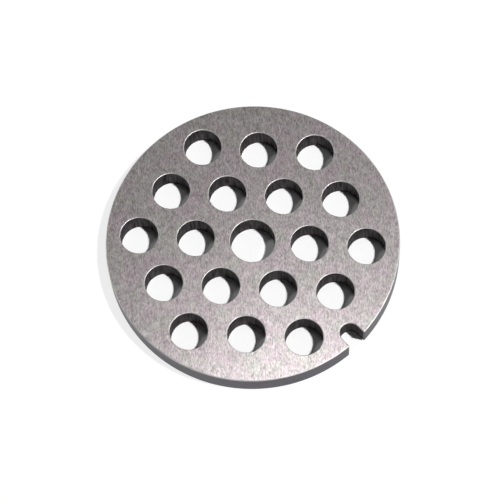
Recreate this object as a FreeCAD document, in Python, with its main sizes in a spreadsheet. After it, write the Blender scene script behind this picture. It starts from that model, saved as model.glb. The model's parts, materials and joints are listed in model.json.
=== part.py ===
import FreeCAD, Part

import math
import os

import Sketcher

# Cutting plate of a meat grinder, size 8.
#
# A flat round disc of hardened steel, made in one piece. The blank is turned to its
# diameter and its rim edges are chamfered. The spindle bore is reamed through the middle,
# and eighteen cutting holes are drilled round it on a triangular grid. A round-ended
# notch is milled in from the rim, for the peg that stops the plate from turning with the
# knife. Both faces are then ground flat, and every edge left on them is finely broken.
#
# Frame: the origin is on the spindle axis, in the back face. +Z points along that axis to
# the cutting face, which the knife sweeps. +X points out through the middle of the notch.
# Lengths are in millimetres and angles in degrees.

# Each driving dimension: its name, its value, and what it measures.
SIZES = [
    ("outside_diameter", "62", "the disc, which drops into the head of the grinder"),
    ("plate_thickness", "5.5", "from the back face to the cutting face"),
    ("rim_chamfer", "0.2", "both edges of the rim"),
    ("bore_diameter", "9.5", "the bore, a running fit on the end of the spindle"),
    ("cutting_hole_diameter", "8", "each of the eighteen cutting holes"),
    ("rim_land", "3", "the steel left between the outermost holes and the rim"),
    ("row_angle", "18", "from the nearest row of holes through the middle to the notch"),
    ("notch_width", "4.2", "between the straight sides of the notch"),
    ("notch_depth", "4.2", "from the rim in to the end of the notch"),
    ("edge_break", "0.15", "the holes, the bore and the notch, on both faces"),
]
RIM_RADIUS = "Sizes.outside_diameter / 2"

# The holes stand on a triangular grid, in rings that are hexagons round the bore: six holes
# in the first ring and twelve in the second. The corner holes of the last ring come nearest
# to the rim, so they and the land outside them set the pitch of the grid, here 12 mm. One
# sixth of the grid is laid out as a sector, and the other five are its copies.
RINGS = 2
SECTORS = 6
FULL_TURN = 360
SECTOR_ANGLE = FULL_TURN // SECTORS
CORNER_HOLE_DISTANCE = f"({RIM_RADIUS} - Sizes.rim_land - Sizes.cutting_hole_diameter / 2)"
HOLE_PITCH = f"{CORNER_HOLE_DISTANCE} / {RINGS}"
ROW_SPACING = f"{HOLE_PITCH} * sin({SECTOR_ANGLE})"

# The notch ends in a half circle, and the cutter runs out past the rim by its own radius.
NOTCH_RADIUS = "Sizes.notch_width / 2"
NOTCH_CENTRE = f"{RIM_RADIUS} - Sizes.notch_depth + {NOTCH_RADIUS}"
NOTCH_MOUTH = f"{RIM_RADIUS} + {NOTCH_RADIUS}"

UP = FreeCAD.Vector(0, 0, 1)
TOLERANCE = 1e-6

# How a sketch names its own origin and its X axis, and the points of an arc or a line.
SKETCH_ORIGIN = (-1, 1)
SKETCH_X_AXIS = -1
START, END, CENTRE = 1, 2, 3


def write_sizes(doc):
    """The sheet of driving dimensions, one to a row."""
    sheet = doc.addObject("Spreadsheet::Sheet", "Sizes")
    for row, (name, value, meaning) in enumerate(SIZES, start=1):
        sheet.set(f"A{row}", name)
        sheet.set(f"B{row}", value)
        sheet.set(f"C{row}", meaning)
        sheet.setAlias(f"B{row}", name)
    doc.recompute()
    return sheet


def point(x, y):
    """A point of a sketch."""
    return FreeCAD.Vector(x, y, 0)


def origin_feature(body, role):
    """One of the planes or axes that the body is built on."""
    return next(f for f in body.Origin.OriginFeatures if f.Role == role)


def back_face_sketch(body, name):
    """An empty sketch in the plane of the back face."""
    sketch = body.newObject("Sketcher::SketchObject", name)
    sketch.AttachmentSupport = [(origin_feature(body, "XY_Plane"), "")]
    sketch.MapMode = "FlatFace"
    return sketch


def dimension(sketch, name, expression, kind, *places):
    """Dimensions a sketch and ties the dimension, under a name, to the sheet."""
    value = sketch.evalExpression(expression)
    constraint = Sketcher.Constraint(kind, *places, value)
    sketch.renameConstraint(sketch.addConstraint(constraint), name)
    sketch.setExpression(f"Constraints.{name}", expression)


def round_sketch(body, name, size):
    """A circle about the spindle axis, of the diameter that the size names."""
    sketch = back_face_sketch(body, name)
    diameter = f"Sizes.{size}"
    start_radius = sketch.evalExpression(diameter) / 2
    ring = sketch.addGeometry(Part.Circle(point(0, 0), UP, start_radius))
    sketch.addConstraint(Sketcher.Constraint("Coincident", ring, CENTRE, *SKETCH_ORIGIN))
    dimension(sketch, size, diameter, "Diameter", ring)
    return sketch


def cut_through(body, name, sketch):
    """Cuts a sketch in the back face right through the plate, and makes sure that it did."""
    volume_before = body.Tip.Shape.Volume
    pocket = body.newObject("PartDesign::Pocket", name)
    pocket.Profile = sketch
    pocket.Type = "ThroughAll"
    pocket.Reversed = True
    body.Document.recompute()
    if pocket.Shape.Volume > volume_before - TOLERANCE:
        raise RuntimeError(f"{name} cuts nothing")
    return pocket


def chamfer_edges(body, name, edges, size):
    """Chamfers edges of the last feature by the size named."""
    last_feature = body.Tip
    chamfer = body.newObject("PartDesign::Chamfer", name)
    chamfer.Base = (last_feature, edges)
    chamfer.setExpression("Size", f"Sizes.{size}")
    body.Document.recompute()


def face_edges(shape, sheet):
    """The edges that lie in the two faces of the plate: each one's name and mid-point."""
    found = []
    for number, edge in enumerate(shape.Edges, start=1):
        middle = edge.valueAt((edge.FirstParameter + edge.LastParameter) / 2)
        in_a_face = min(abs(middle.z), abs(middle.z - sheet.plate_thickness)) < TOLERANCE
        if in_a_face and edge.BoundBox.ZLength < TOLERANCE:
            found.append((f"Edge{number}", middle))
    return found


def turn_blank(body, sheet):
    """The turned disc, with a chamfer along both edges of its rim."""
    blank = body.newObject("PartDesign::Pad", "Blank")
    blank.Profile = round_sketch(body, "BlankOutline", "outside_diameter")
    blank.setExpression("Length", "Sizes.plate_thickness")
    body.Document.recompute()
    rim_edges = [name for name, middle in face_edges(blank.Shape, sheet)]
    chamfer_edges(body, "RimChamfer", rim_edges, "rim_chamfer")


def drill_cutting_holes(body):
    """Drills the holes of one sector of the grid, and repeats them round the spindle axis.

    The sketch is turned so that its X axis runs along a row of holes through the middle.
    A hole is then so many steps along that row, and so many to the side, along the row
    that stands a sector's angle from it.
    """
    sketch = back_face_sketch(body, "HoleGrid")
    sketch.AttachmentOffset = FreeCAD.Placement(FreeCAD.Vector(), FreeCAD.Rotation(UP, SECTOR_ANGLE))
    sketch.setExpression("AttachmentOffset.Rotation.Angle", f"{SECTOR_ANGLE} - Sizes.row_angle")
    start_radius = sketch.evalExpression("Sizes.cutting_hole_diameter / 2")
    holes = []
    for steps in range(1, RINGS + 1):
        for side_steps in range(RINGS + 1 - steps):
            along = f"{steps + side_steps / 2} * {HOLE_PITCH}"
            across = f"{side_steps} * {ROW_SPACING}"
            centre = point(sketch.evalExpression(along), sketch.evalExpression(across))
            hole = sketch.addGeometry(Part.Circle(centre, UP, start_radius))
            name = f"{steps}_{side_steps}"
            dimension(sketch, f"along_{name}", along, "DistanceX", *SKETCH_ORIGIN, hole, CENTRE)
            if side_steps:
                dimension(sketch, f"across_{name}", across, "DistanceY", *SKETCH_ORIGIN, hole, CENTRE)
            else:
                on_row = Sketcher.Constraint("PointOnObject", hole, CENTRE, SKETCH_X_AXIS)
                sketch.addConstraint(on_row)
            holes.append(hole)
    dimension(sketch, "hole_diameter", "Sizes.cutting_hole_diameter", "Diameter", holes[0])
    for hole in holes[1:]:
        sketch.addConstraint(Sketcher.Constraint("Equal", holes[0], hole))
    sector = cut_through(body, "CuttingHoles", sketch)

    grid = body.newObject("PartDesign::PolarPattern", "AllCuttingHoles")
    grid.Originals = [sector]
    grid.Axis = (origin_feature(body, "Z_Axis"), [""])
    grid.Angle = FULL_TURN
    grid.Occurrences = SECTORS
    body.Tip = grid
    body.Document.recompute()


def mill_notch(body):
    """Mills the round-ended notch in from the rim along +X."""
    sketch = back_face_sketch(body, "NotchOutline")
    radius = sketch.evalExpression(NOTCH_RADIUS)
    centre = sketch.evalExpression(NOTCH_CENTRE)
    mouth = sketch.evalExpression(NOTCH_MOUTH)
    end_circle = Part.Circle(point(centre, 0), UP, radius)
    half_turn = Part.ArcOfCircle(end_circle, math.pi / 2, 3 * math.pi / 2)
    end = sketch.addGeometry(half_turn)
    left = sketch.addGeometry(Part.LineSegment(point(centre, radius), point(mouth, radius)))
    across = sketch.addGeometry(Part.LineSegment(point(mouth, radius), point(mouth, -radius)))
    right = sketch.addGeometry(Part.LineSegment(point(mouth, -radius), point(centre, -radius)))
    sketch.addConstraint([
        Sketcher.Constraint("Tangent", end, START, left, START),
        Sketcher.Constraint("Coincident", left, END, across, START),
        Sketcher.Constraint("Coincident", across, END, right, START),
        Sketcher.Constraint("Tangent", right, END, end, END),
        Sketcher.Constraint("PointOnObject", end, CENTRE, SKETCH_X_AXIS),
        Sketcher.Constraint("Horizontal", left),
        Sketcher.Constraint("Horizontal", right),
        Sketcher.Constraint("Vertical", across),
    ])
    dimension(sketch, "end_radius", NOTCH_RADIUS, "Radius", end)
    dimension(sketch, "end_centre", NOTCH_CENTRE, "DistanceX", *SKETCH_ORIGIN, end, CENTRE)
    dimension(sketch, "mouth", NOTCH_MOUTH, "DistanceX", *SKETCH_ORIGIN, across, START)
    cut_through(body, "Notch", sketch)


def break_edges(body, sheet):
    """A fine chamfer on every edge in the two faces, apart from the rim's own."""
    face_radius = sheet.outside_diameter / 2 - sheet.rim_chamfer
    edges = [
        name
        for name, middle in face_edges(body.Tip.Shape, sheet)
        if math.hypot(middle.x, middle.y) < face_radius - TOLERANCE
    ]
    chamfer_edges(body, "EdgeBreaks", edges, "edge_break")


def make_plate(doc, sheet):
    """The whole plate, in the order in which it is machined."""
    body = doc.addObject("PartDesign::Body", "Plate")
    body.Label = "plate"
    body.Placement = FreeCAD.Placement()
    turn_blank(body, sheet)
    cut_through(body, "SpindleBore", round_sketch(body, "BoreOutline", "bore_diameter"))
    drill_cutting_holes(body)
    mill_notch(body)
    break_edges(body, sheet)
    return body


def check_document(doc, bodies):
    """Stops the macro if a feature has failed, a sketch is loose or a piece is unsound."""
    doc.recompute()
    for item in doc.Objects:
        if "Invalid" in item.State or "Error" in item.State:
            raise RuntimeError(f"{item.Name} has failed: {item.State}")
        if item.isDerivedFrom("Sketcher::SketchObject") and not item.FullyConstrained:
            raise RuntimeError(f"{item.Name} is not fully dimensioned")
    for body in bodies:
        shape = body.Shape
        if shape.isNull() or not shape.isValid() or len(shape.Solids) != 1:
            raise RuntimeError(f"{body.Label} is not one sound solid")


document = FreeCAD.newDocument("GrinderPlate")
size_sheet = write_sizes(document)
pieces = [make_plate(document, size_sheet)]
check_document(document, pieces)

os.makedirs("parts", exist_ok=True)
for piece in pieces:
    piece.Shape.exportStep(f"parts/{piece.Label}.step")
    print(piece.Label, f"{piece.Shape.Volume:.1f} mm3", piece.Shape.BoundBox)
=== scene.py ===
import json
import math

import bpy
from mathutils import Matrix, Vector


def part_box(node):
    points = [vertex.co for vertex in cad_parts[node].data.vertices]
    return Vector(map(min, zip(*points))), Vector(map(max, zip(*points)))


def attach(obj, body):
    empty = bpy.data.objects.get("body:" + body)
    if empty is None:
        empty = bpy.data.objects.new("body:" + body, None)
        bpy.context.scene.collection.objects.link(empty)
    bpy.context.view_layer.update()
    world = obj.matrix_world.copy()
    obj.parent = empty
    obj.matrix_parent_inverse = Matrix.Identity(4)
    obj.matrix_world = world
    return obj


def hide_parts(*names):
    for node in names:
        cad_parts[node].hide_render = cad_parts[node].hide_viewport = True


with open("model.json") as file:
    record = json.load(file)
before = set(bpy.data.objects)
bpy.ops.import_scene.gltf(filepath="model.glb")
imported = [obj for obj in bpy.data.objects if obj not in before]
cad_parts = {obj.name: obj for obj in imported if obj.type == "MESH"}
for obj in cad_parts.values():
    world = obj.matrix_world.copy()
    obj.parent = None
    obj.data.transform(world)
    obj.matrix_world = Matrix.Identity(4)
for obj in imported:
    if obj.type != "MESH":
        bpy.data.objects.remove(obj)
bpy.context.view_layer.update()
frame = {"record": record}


# The plate is one disc of hardened steel. It is turned to size, its bore and its eighteen cutting
# holes are drilled, and the notch in the rim that keeps it from turning is milled. Both faces are
# ground last, so that they are bright, while the rim and the walls of the holes stay dark.

MM = 0.001
mounts = {mount["name"]: mount for mount in frame["record"]["mounts"]}
plate_low, plate_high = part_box("plate")
THICKNESS = plate_high.z - plate_low.z
OUTSIDE_RADIUS = mounts["rim"]["dims"]["r_mm"] * MM
BORE_RADIUS = mounts["spindle_bore"]["dims"]["r_mm"] * MM
NOTCH_CENTRE = mounts["locating_notch"]["pos_m"][0]
NOTCH_HALF_WIDTH = 2.1 * MM
NOTCH_CORNER = 0.3 * MM
HOLE_RADIUS = 4.0 * MM
RIM_LAND = 3.0 * MM
RINGS = 2
HOLE_SPACING = (OUTSIDE_RADIUS - RIM_LAND - HOLE_RADIUS) / RINGS
ROW_ANGLE = math.radians(-18)
EDGE_BREAK = 0.15 * MM
RIM_BREAK = 0.2 * MM
NEARLY_UPRIGHT = 0.999
TOUCHING = 0.001 * MM

GRAIN_ANGLE = math.radians(135.6)
FINE_GRAIN = (0.55 * MM, 0.2 * MM, 0.2 * MM)
LONG_GRAIN = (12 * MM, 0.5 * MM, 0.5 * MM)
MOTTLE = (1.3 * MM, 1.3 * MM, 1.3 * MM)
EDGE_SPOT = (0.4 * MM, 0.4 * MM, 0.4 * MM)
EDGE_PIT = (0.5 * MM, 0.5 * MM, 0.5 * MM)
DRILL_STAIN = (0.35 * MM, 0.35 * MM, 4 * MM)
DRILL_MARK = (0.45 * MM, 0.45 * MM, 5 * MM)
TURNING_LINE = (6 * MM, 6 * MM, 0.3 * MM)
BLOTCH_CONTRAST = 3.0


class Wire:
    """One value in a node tree. Arithmetic on it adds the Math nodes that work it out."""

    def __init__(self, sheet, socket):
        self.sheet = sheet
        self.socket = socket

    def __getitem__(self, name):
        """Another output of the node that this value comes from."""
        return Wire(self.sheet, enabled(self.socket.node.outputs, name))

    def __add__(self, other):
        return self.sheet.math("ADD", self, other)

    def __radd__(self, other):
        return self.sheet.math("ADD", other, self)

    def __sub__(self, other):
        return self.sheet.math("SUBTRACT", self, other)

    def __rsub__(self, other):
        return self.sheet.math("SUBTRACT", other, self)

    def __mul__(self, other):
        return self.sheet.math("MULTIPLY", self, other)

    def __rmul__(self, other):
        return self.sheet.math("MULTIPLY", other, self)

    def __truediv__(self, other):
        return self.sheet.math("DIVIDE", self, other)

    def __mod__(self, other):
        return self.sheet.math("MODULO", self, other)

    def __lt__(self, other):
        return self.sheet.math("LESS_THAN", self, other)

    def __gt__(self, other):
        return self.sheet.math("GREATER_THAN", self, other)

    def __abs__(self):
        return self.sheet.math("ABSOLUTE", self)


class NodeSheet:
    """A node tree that is written as expressions on the values in it."""

    def __init__(self, tree):
        self.tree = tree

    def add(self, kind, settings=None, sockets=None):
        """Adds a node of any kind, and gives its first output in use."""
        node = self.tree.nodes.new(kind)
        for name, value in (settings or {}).items():
            if name == "stops":
                set_stops(node.color_ramp, value)
            else:
                setattr(node, name, value)
        for name, value in (sockets or {}).items():
            socket = enabled(node.inputs, name)
            for wire in value if isinstance(value, list) else [value]:
                if isinstance(wire, Wire):
                    self.tree.links.new(wire.socket, socket)
                else:
                    socket.default_value = wire
        return Wire(self, next(s for s in node.outputs if s.enabled)) if node.outputs else None

    def math(self, operation, *terms):
        return self.add("ShaderNodeMath", {"operation": operation}, dict(enumerate(terms)))

    def vector(self, x, y, z):
        return self.add("ShaderNodeCombineXYZ", {}, {"X": x, "Y": y, "Z": z})


def enabled(sockets, name):
    """The socket in use that has this name, or the one at this place in the list."""
    if isinstance(name, int):
        return sockets[name]
    return next(s for s in sockets if s.enabled and s.name == name)


def set_stops(ramp, stops):
    """Gives a colour ramp its stops, a list of places and greys."""
    while len(ramp.elements) < len(stops):
        ramp.elements.new(1.0)
    for element, (place, grey) in zip(ramp.elements, stops):
        element.position = place
        element.color = (grey, grey, grey, 1.0)


def streaks(sheet, size, turn=0.0, detail=2.0, shift=0.0):
    """Noise round zero whose grains have this size in metres along X, Y and Z turned by `turn`."""
    place = sheet.add("ShaderNodeTexCoord")["Object"]
    drawn = sheet.add(
        "ShaderNodeMapping",
        {"vector_type": "TEXTURE"},
        {"Vector": place, "Location": (shift, shift, 0), "Rotation": (0, 0, turn), "Scale": size},
    )
    noise = sheet.add("ShaderNodeTexNoise", {}, {"Vector": drawn, "Scale": 1.0, "Detail": detail})
    return noise - 0.5


def steel(name, tint, brightness, roughness, height, relief, graze=1.0):
    """A steel surface: its tint times a brightness, its roughness, and a relief in metres.

    `graze` is how much of its shine is left where it is seen almost edge on."""
    material = bpy.data.materials.new(name)
    material.use_nodes = True
    material.node_tree.nodes.clear()
    sheet = NodeSheet(material.node_tree)
    colour = sheet.add(
        "ShaderNodeVectorMath",
        {"operation": "SCALE"},
        {"Vector": tint(sheet), "Scale": brightness(sheet)},
    )
    bump = sheet.add(
        "ShaderNodeBump", {}, {"Height": height(sheet), "Distance": relief, "Strength": 1.0}
    )
    shader = sheet.add(
        "ShaderNodeBsdfPrincipled",
        {},
        {
            "Base Color": colour,
            "Metallic": 1.0,
            "Roughness": roughness(sheet),
            "Normal": bump,
            "Specular Tint": (graze, graze, graze, 1.0),
        },
    )
    sheet.add("ShaderNodeOutputMaterial", {}, {"Surface": shader})
    return material


def blotches(sheet, first, second, size):
    """A slow change between two tints, in patches of this size in metres."""
    share = 0.5 + BLOTCH_CONTRAST * streaks(sheet, (size, size, size), detail=1.0)
    return sheet.add(
        "ShaderNodeMix",
        {"data_type": "RGBA", "clamp_factor": True},
        {"Factor": share, "A": (*first, 1.0), "B": (*second, 1.0)},
    )


def fine_grain(sheet):
    """The short scratches that the grinding wheel leaves, all one way."""
    return streaks(sheet, FINE_GRAIN, GRAIN_ANGLE, detail=1.0)


def long_grain(sheet):
    """The few long scratches among the short ones."""
    return streaks(sheet, LONG_GRAIN, GRAIN_ANGLE, shift=0.1)


def mottle(sheet):
    """The faint cloud of lighter and darker spots over the ground steel."""
    return streaks(sheet, MOTTLE, shift=0.2)


def ground_brightness(sheet):
    """How the ground face goes lighter and darker with its scratches and its mottle."""
    return 1.0 + 1.5 * fine_grain(sheet) + 0.2 * long_grain(sheet) + 0.65 * mottle(sheet)


def edge_pits(sheet):
    """The small pits of an edge that was broken with a file."""
    return streaks(sheet, EDGE_PIT)


def drill_marks(sheet):
    """The lines that the drill leaves, which run along the hole."""
    return streaks(sheet, DRILL_MARK)


def turning_lines(sheet):
    """The fine lines that the lathe tool leaves, which run round the rim."""
    return streaks(sheet, TURNING_LINE)


ground_face = steel(
    "ground_face",
    tint=lambda sheet: blotches(sheet, (0.778, 0.673, 0.71), (0.729, 0.697, 0.667), 4 * MM),
    brightness=ground_brightness,
    roughness=lambda sheet: 0.28 + 0.02 * fine_grain(sheet),
    height=lambda sheet: fine_grain(sheet) + long_grain(sheet),
    relief=0.006 * MM,
)
broken_edge = steel(
    "broken_edge",
    tint=lambda sheet: blotches(sheet, (0.55, 0.53, 0.54), (0.48, 0.47, 0.46), 2 * MM),
    brightness=lambda sheet: 1.0 + 0.4 * streaks(sheet, EDGE_SPOT),
    roughness=lambda sheet: 0.5 + 0.2 * edge_pits(sheet),
    height=edge_pits,
    relief=0.02 * MM,
)
drilled_wall = steel(
    "drilled_wall",
    tint=lambda sheet: blotches(sheet, (0.074, 0.064, 0.071), (0.063, 0.06, 0.059), 3 * MM),
    brightness=lambda sheet: 1.0 + 4.0 * streaks(sheet, DRILL_STAIN),
    roughness=lambda sheet: 0.5 + 0.3 * drill_marks(sheet),
    height=drill_marks,
    relief=0.045 * MM,
    graze=0.48,
)
turned_rim = steel(
    "turned_rim",
    tint=lambda sheet: blotches(sheet, (0.092, 0.084, 0.106), (0.086, 0.084, 0.09), 3 * MM),
    brightness=lambda sheet: 1.0 + 2.0 * turning_lines(sheet),
    roughness=lambda sheet: 0.36 + 0.2 * turning_lines(sheet),
    height=turning_lines,
    relief=0.03 * MM,
    graze=0.75,
)

plate_sizes = {
    "Outside Radius": OUTSIDE_RADIUS,
    "Thickness": THICKNESS,
    "Rim Break": RIM_BREAK,
    "Bore Radius": BORE_RADIUS,
    "Hole Radius": HOLE_RADIUS,
    "Hole Spacing": HOLE_SPACING,
    "Rings": RINGS,
    "Row Angle": ROW_ANGLE,
    "Edge Break": EDGE_BREAK,
    "Notch Centre": NOTCH_CENTRE,
    "Notch Half Width": NOTCH_HALF_WIDTH,
    "Notch Corner": NOTCH_CORNER,
    "Hole Steps": 96,
    "Rim Steps": 360,
    "Notch Steps": 24,
    "Corner Steps": 5,
    "Round Steps": 3,
}
plate_tree = bpy.data.node_groups.new("plate_tree", "GeometryNodeTree")
for size_name, size in plate_sizes.items():
    kind = "NodeSocketInt" if isinstance(size, int) else "NodeSocketFloat"
    plate_tree.interface.new_socket(size_name, in_out="INPUT", socket_type=kind)
plate_tree.interface.new_socket("Plate", in_out="OUTPUT", socket_type="NodeSocketGeometry")
plan = NodeSheet(plate_tree)
given = plan.add("NodeGroupInput")
index = plan.add("GeometryNodeInputIndex")
position = plan.add("GeometryNodeInputPosition")
thickness = given["Thickness"]


def wall_along(outline, corner):
    """The wall that stands on an outline, with its upper and lower edge rounded to `corner`.

    The outline runs with the metal on its left. Each of its points is one upright section of the
    wall, and a section's rows go up from the lower face to the upper one."""
    round_steps = given["Round Steps"]
    rows = 2 * (round_steps + 2)
    stations = plan.add(
        "GeometryNodeAttributeDomainSize", {"component": "CURVE"}, {"Geometry": outline}
    )["Point Count"]
    strip = plan.add("GeometryNodeMeshGrid", {}, {"Vertices X": stations + 1, "Vertices Y": rows})
    column = plan.math("FLOOR", (index + 0.5) / rows)
    row = index - column * rows
    station = column % stations

    def at_station(field):
        return plan.add(
            "GeometryNodeSampleIndex",
            {"data_type": "FLOAT_VECTOR", "domain": "POINT"},
            {"Geometry": outline, "Value": field, "Index": station},
        )

    # Past each rounding, one row more keeps its smooth shading off the plain wall.
    step = plan.math("MINIMUM", row, rows - 1 - row)
    quarter = plan.math("MINIMUM", step / round_steps, 1.0) * (math.pi / 2)
    inset = corner * (1 - plan.math("SINE", quarter))
    beyond = plan.math("MAXIMUM", step - round_steps, 0.0)
    depth = corner * (1 - plan.math("COSINE", quarter)) + corner * beyond
    upper = row > (rows - 1) / 2
    height = depth + upper * (thickness - 2 * depth)
    into_metal = plan.add(
        "ShaderNodeVectorMath",
        {"operation": "CROSS_PRODUCT"},
        {0: (0, 0, 1), 1: at_station(plan.add("GeometryNodeInputTangent"))},
    )
    moved_in = plan.add(
        "ShaderNodeVectorMath",
        {"operation": "MULTIPLY_ADD"},
        {0: into_metal, 1: plan.vector(inset, inset, 0), 2: at_station(position)},
    )
    place = plan.add(
        "ShaderNodeVectorMath",
        {"operation": "ADD"},
        {0: moved_in, 1: plan.vector(0, 0, height)},
    )
    return plan.add("GeometryNodeSetPosition", {}, {"Geometry": strip, "Position": place})


def hole_wall(radius):
    """The wall of a round hole about the origin."""
    circle = plan.add(
        "GeometryNodeCurvePrimitiveCircle",
        {"mode": "RADIUS"},
        {"Resolution": given["Hole Steps"], "Radius": radius},
    )
    clockwise = plan.add("GeometryNodeReverseCurve", {}, {"Curve": circle})
    return wall_along(clockwise, given["Edge Break"])


def hole_places():
    """The middles of the cutting holes: rings of a grid of equal triangles round the bore."""
    rings = given["Rings"]
    side = 2 * rings + 1
    line = plan.math("FLOOR", (index + 0.5) / side)
    along = line - rings
    across = index - line * side - rings
    spacing = given["Hole Spacing"]
    x = spacing * (along + across * 0.5)
    y = spacing * (across * math.sin(math.radians(60)))
    grid = plan.add(
        "GeometryNodePoints", {}, {"Count": side * side, "Position": plan.vector(x, y, 0)}
    )
    outside = abs(along + across) > rings
    on_bore = (abs(along) + abs(across)) < 0.5
    kept = plan.add(
        "GeometryNodeDeleteGeometry",
        {"domain": "POINT"},
        {"Geometry": grid, "Selection": outside + on_bore},
    )
    return plan.add(
        "GeometryNodeTransform",
        {},
        {"Geometry": kept, "Rotation": plan.vector(0, 0, given["Row Angle"])},
    )


def rim_outline():
    """The edge of the plate as one loop: the round rim, then in and out of the notch."""
    radius = given["Outside Radius"]
    half = given["Notch Half Width"]
    rim_steps = given["Rim Steps"]
    notch_steps = given["Notch Steps"]
    on_rim = index < rim_steps + 0.5
    mouth = plan.math("ARCSINE", half / radius)
    round_rim = mouth + (2 * math.pi - 2 * mouth) * (index / rim_steps)
    round_notch = 1.5 * math.pi - math.pi * ((index - rim_steps - 1) / notch_steps)
    turn = round_notch + on_rim * (round_rim - round_notch)
    reach = half + on_rim * (radius - half)
    x = (1 - on_rim) * given["Notch Centre"] + reach * plan.math("COSINE", turn)
    y = reach * plan.math("SINE", turn)
    loop_points = plan.add(
        "GeometryNodePoints",
        {},
        {"Count": rim_steps + notch_steps + 2, "Position": plan.vector(x, y, 0)},
    )
    path = plan.add("GeometryNodePointsToCurves", {}, {"Points": loop_points})
    loop = plan.add("GeometryNodeSetSplineCyclic", {}, {"Geometry": path, "Cyclic": True})
    at_mouth = (index < 0.5) + (abs(index - rim_steps) < 0.5)
    return plan.add(
        "GeometryNodeFilletCurve",
        {"mode": "POLY"},
        {
            "Curve": loop,
            "Count": given["Corner Steps"],
            "Radius": at_mouth * given["Notch Corner"],
            "Limit Radius": True,
        },
    )


def land(walls, is_upper):
    """The flat face between the edges of all the walls, at the top or at the bottom."""
    open_edge = plan.add("GeometryNodeInputMeshEdgeNeighbors") < 1.5
    middle = thickness / 2
    edge_height = plan.add("ShaderNodeSeparateXYZ", {}, {"Vector": position})["Z"]
    on_side = edge_height > middle if is_upper else edge_height < middle
    edges = plan.add(
        "GeometryNodeMeshToCurve", {}, {"Mesh": walls, "Selection": open_edge * on_side}
    )
    face = plan.add("GeometryNodeFillCurve", {"mode": "TRIANGLES"}, {"Curve": edges})
    if is_upper:
        return plan.add(
            "GeometryNodeTransform",
            {},
            {"Geometry": face, "Translation": plan.vector(0, 0, thickness)},
        )
    return plan.add("GeometryNodeFlipFaces", {}, {"Mesh": face})


def closed(parts):
    """The parts as one mesh, with the points that lie on each other made one."""
    joined = plan.add("GeometryNodeJoinGeometry", {}, {"Geometry": parts})
    realized = plan.add("GeometryNodeRealizeInstances", {}, {"Geometry": joined})
    return plan.add(
        "GeometryNodeMergeByDistance", {}, {"Geometry": realized, "Distance": TOUCHING}
    )


def painted(mesh, material, selection=True):
    """The mesh with this finish on the faces of the selection."""
    return plan.add(
        "GeometryNodeSetMaterial",
        {},
        {"Geometry": mesh, "Selection": selection, "Material": material},
    )


cutting_holes = plan.add(
    "GeometryNodeInstanceOnPoints",
    {},
    {"Points": hole_places(), "Instance": hole_wall(given["Hole Radius"])},
)
rim_wall = wall_along(rim_outline(), given["Rim Break"])
all_walls = closed([cutting_holes, hole_wall(given["Bore Radius"]), rim_wall])
whole = closed([all_walls, land(all_walls, True), land(all_walls, False)])

facing = plan.add("GeometryNodeInputNormal")
upright = plan.add("ShaderNodeSeparateXYZ", {}, {"Vector": facing})["Z"]
is_land = abs(upright) > NEARLY_UPRIGHT
level = plan.add("ShaderNodeSeparateXYZ", {}, {"Vector": position})["Z"]
is_edge = abs(level - thickness / 2) > (thickness / 2 - given["Edge Break"])
distance_out = plan.add("ShaderNodeVectorMath", {"operation": "LENGTH"}, {0: position})["Value"]
is_rim = distance_out > (given["Outside Radius"] - 2 * given["Notch Corner"])
shaded = plan.add(
    "GeometryNodeSetShadeSmooth",
    {"domain": "FACE"},
    {"Geometry": whole, "Shade Smooth": 1 - is_land},
)
finished = painted(shaded, drilled_wall)
finished = painted(finished, turned_rim, is_rim)
finished = painted(finished, broken_edge, is_edge)
finished = painted(finished, ground_face, is_land)
plan.add("NodeGroupOutput", {}, {"Plate": finished})

plate = bpy.data.objects.new("grinder_plate", bpy.data.meshes.new("blank"))
bpy.context.scene.collection.objects.link(plate)
maker = plate.modifiers.new("plate_tree", "NODES")
maker.node_group = plate_tree
for item in plate_tree.interface.items_tree:
    if item.in_out == "INPUT":
        maker[item.identifier] = plate_sizes[item.name]
depsgraph = bpy.context.evaluated_depsgraph_get()
plate_mesh = bpy.data.meshes.new_from_object(plate.evaluated_get(depsgraph))
plate.modifiers.remove(maker)
plate_mesh.materials.pop(index=0)
plate.data = plate_mesh
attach(plate, "root")
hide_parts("plate")


# The plate lies on a sheet of white paper that runs on past the picture on every side. Round the
# plate the paper glows for the camera and in what the steel mirrors, so that it looks white and
# the shadow on it pale. Under the plate it is plain matt paper.

FLOOR_HALF = 1.8
FLOOR_DROP = 0.02 * MM
FLOOR_COLOUR = 0.88
FLOOR_GLOW = 0.8
GLOW_OVERLAP = 0.5 * MM

floor_mesh = bpy.data.meshes.new("paper")
corner_ways = ((-1, -1), (1, -1), (1, 1), (-1, 1))
corners = [(x * FLOOR_HALF, y * FLOOR_HALF, -FLOOR_DROP) for x, y in corner_ways]
floor_mesh.from_pydata(corners, [], [(0, 1, 2, 3)])
floor = bpy.data.objects.new("paper", floor_mesh)
bpy.context.scene.collection.objects.link(floor)
paper = bpy.data.materials.new("paper")
paper.use_nodes = True
paper.node_tree.nodes.clear()
paper_sheet = NodeSheet(paper.node_tree)
from_middle = paper_sheet.add(
    "ShaderNodeVectorMath",
    {"operation": "LENGTH"},
    {0: paper_sheet.add("ShaderNodeTexCoord")["Object"]},
)["Value"]
rays = paper_sheet.add("ShaderNodeLightPath")
seen = paper_sheet.math("MAXIMUM", rays["Is Camera Ray"], rays["Is Glossy Ray"])
seen = paper_sheet.math("MAXIMUM", seen, rays["Is Transmission Ray"])
past_plate = from_middle > (OUTSIDE_RADIUS - GLOW_OVERLAP)
matt = paper_sheet.add(
    "ShaderNodeBsdfDiffuse", {}, {"Color": (FLOOR_COLOUR, FLOOR_COLOUR, FLOOR_COLOUR, 1.0)}
)
glow = paper_sheet.add("ShaderNodeEmission", {}, {"Color": (1, 1, 1, 1), "Strength": 1.0})
glow_share = seen * past_plate * FLOOR_GLOW
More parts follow.
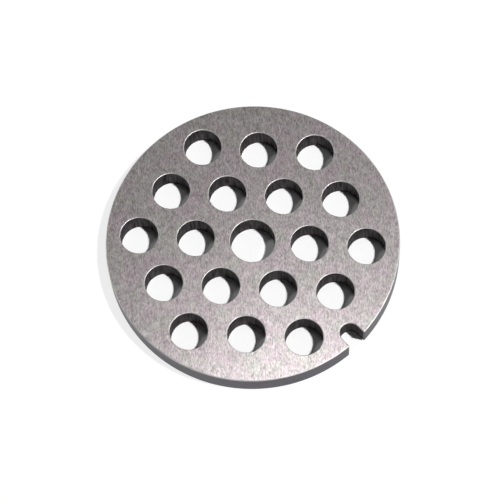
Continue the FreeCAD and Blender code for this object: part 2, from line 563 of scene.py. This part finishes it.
paper_look = paper_sheet.add("ShaderNodeMixShader", {}, {0: glow_share, 1: matt, 2: glow})
paper_sheet.add("ShaderNodeOutputMaterial", {}, {"Surface": paper_look})
floor_mesh.materials.append(paper)


# The plate lies in a white tent: a bright low ring of sky, a dim top, and a dim card that the
# ground face mirrors. A hard lamp at the right throws the shadows into the holes, a small soft box
# overhead makes the sheen on the face, and a window at the left lights the walls opposite it.

SKY_STOPS = [(0.0, 1.0), (0.15, 0.9), (0.3, 0.4), (0.45, 0.1), (0.65, 0.03), (1.0, 0.03)]
CARD_TILT = math.radians(24)
CARD_AZIMUTH = math.radians(140)
CARD_STOPS = [(0.0, 0.0), (0.85, 0.0), (0.93, 0.08), (1.0, 0.08)]
KEY_AZIMUTH = math.radians(33)
KEY_ELEVATION = math.radians(66.4)
KEY_DISTANCE = 3.0
KEY_WIDTH = 0.17
KEY_POWER = 97.0
BOX_TILT = math.radians(8.9)
BOX_AZIMUTH = math.radians(127)
BOX_DISTANCE = 0.4
BOX_WIDTH = 0.05
BOX_POWER = 0.06
WINDOW_AZIMUTH = math.radians(206)
WINDOW_ELEVATION = math.radians(41.5)
WINDOW_DISTANCE = 1.0
WINDOW_WIDTH = 0.07
WINDOW_POWER = 1.4

world = bpy.data.worlds.new("tent")
world.use_nodes = True
world.node_tree.nodes.clear()
bpy.context.scene.world = world
sky = NodeSheet(world.node_tree)


def lamp(name, way_out, distance, width, power):
    """A round lamp at this distance along `way_out`, turned to the middle of the plate."""
    data = bpy.data.lights.new(name, "AREA")
    data.shape = "DISK"
    data.size = width
    data.energy = power
    holder = bpy.data.objects.new(name, data)
    holder.location = way_out * distance
    holder.rotation_euler = way_out.to_track_quat("Z", "Y").to_euler()
    bpy.context.scene.collection.objects.link(holder)


def direction(azimuth, elevation):
    """The way out from the plate, one metre long, at these two angles."""
    flat = math.cos(elevation)
    return Vector((math.cos(azimuth) * flat, math.sin(azimuth) * flat, math.sin(elevation)))


way = sky.add("ShaderNodeTexCoord")["Generated"]
height_up = sky.add("ShaderNodeSeparateXYZ", {}, {"Vector": way})["Z"]
near_card = sky.add(
    "ShaderNodeVectorMath",
    {"operation": "DOT_PRODUCT"},
    {0: way, 1: direction(CARD_AZIMUTH, math.pi / 2 - CARD_TILT)},
)["Value"]
tent_light = sky.add("ShaderNodeValToRGB", {"stops": SKY_STOPS}, {0: height_up})
card_light = sky.add("ShaderNodeValToRGB", {"stops": CARD_STOPS}, {0: near_card})
all_light = sky.add(
    "ShaderNodeVectorMath", {"operation": "ADD"}, {0: tent_light, 1: card_light}
)
background = sky.add("ShaderNodeBackground", {}, {"Color": all_light, "Strength": 1.0})
sky.add("ShaderNodeOutputWorld", {}, {"Surface": background})

to_key = direction(KEY_AZIMUTH, KEY_ELEVATION)
to_box = direction(BOX_AZIMUTH, math.pi / 2 - BOX_TILT)
to_window = direction(WINDOW_AZIMUTH, WINDOW_ELEVATION)
lamp("key", to_key, KEY_DISTANCE, KEY_WIDTH, KEY_POWER)
lamp("soft_box", to_box, BOX_DISTANCE, BOX_WIDTH, BOX_POWER)
lamp("window", to_window, WINDOW_DISTANCE, WINDOW_WIDTH, WINDOW_POWER)


# The camera looks down on the plate from the side of the notch, a little turned about its own
# line of sight. Its place was fitted to the middles of the holes and to the edge of the disc in
# the photograph.

CAMERA_AZIMUTH = math.radians(50.35)
CAMERA_ELEVATION = math.radians(69.2)
CAMERA_ROLL = math.radians(-5.06)
CAMERA_DISTANCE = 530 * MM
CAMERA_LENS = 179.5
LOOKS_AT = Vector((-0.513 * MM, -0.515 * MM, 0))

back = direction(CAMERA_AZIMUTH - math.pi / 2, CAMERA_ELEVATION)
level_right = Vector((math.cos(CAMERA_AZIMUTH), math.sin(CAMERA_AZIMUTH), 0))
level_up = back.cross(level_right)
right = math.cos(CAMERA_ROLL) * level_right + math.sin(CAMERA_ROLL) * level_up
up = back.cross(right)
camera_data = bpy.data.cameras.new("camera")
camera_data.lens = CAMERA_LENS
camera = bpy.data.objects.new("camera", camera_data)
turned = camera.matrix_world.to_3x3()
turned.col[0], turned.col[1], turned.col[2] = right, up, back
camera.matrix_world = turned.to_4x4()
camera.location = LOOKS_AT + back * CAMERA_DISTANCE
bpy.context.scene.collection.objects.link(camera)
bpy.context.scene.camera = camera
bpy.context.scene.view_settings.view_transform = "Standard"
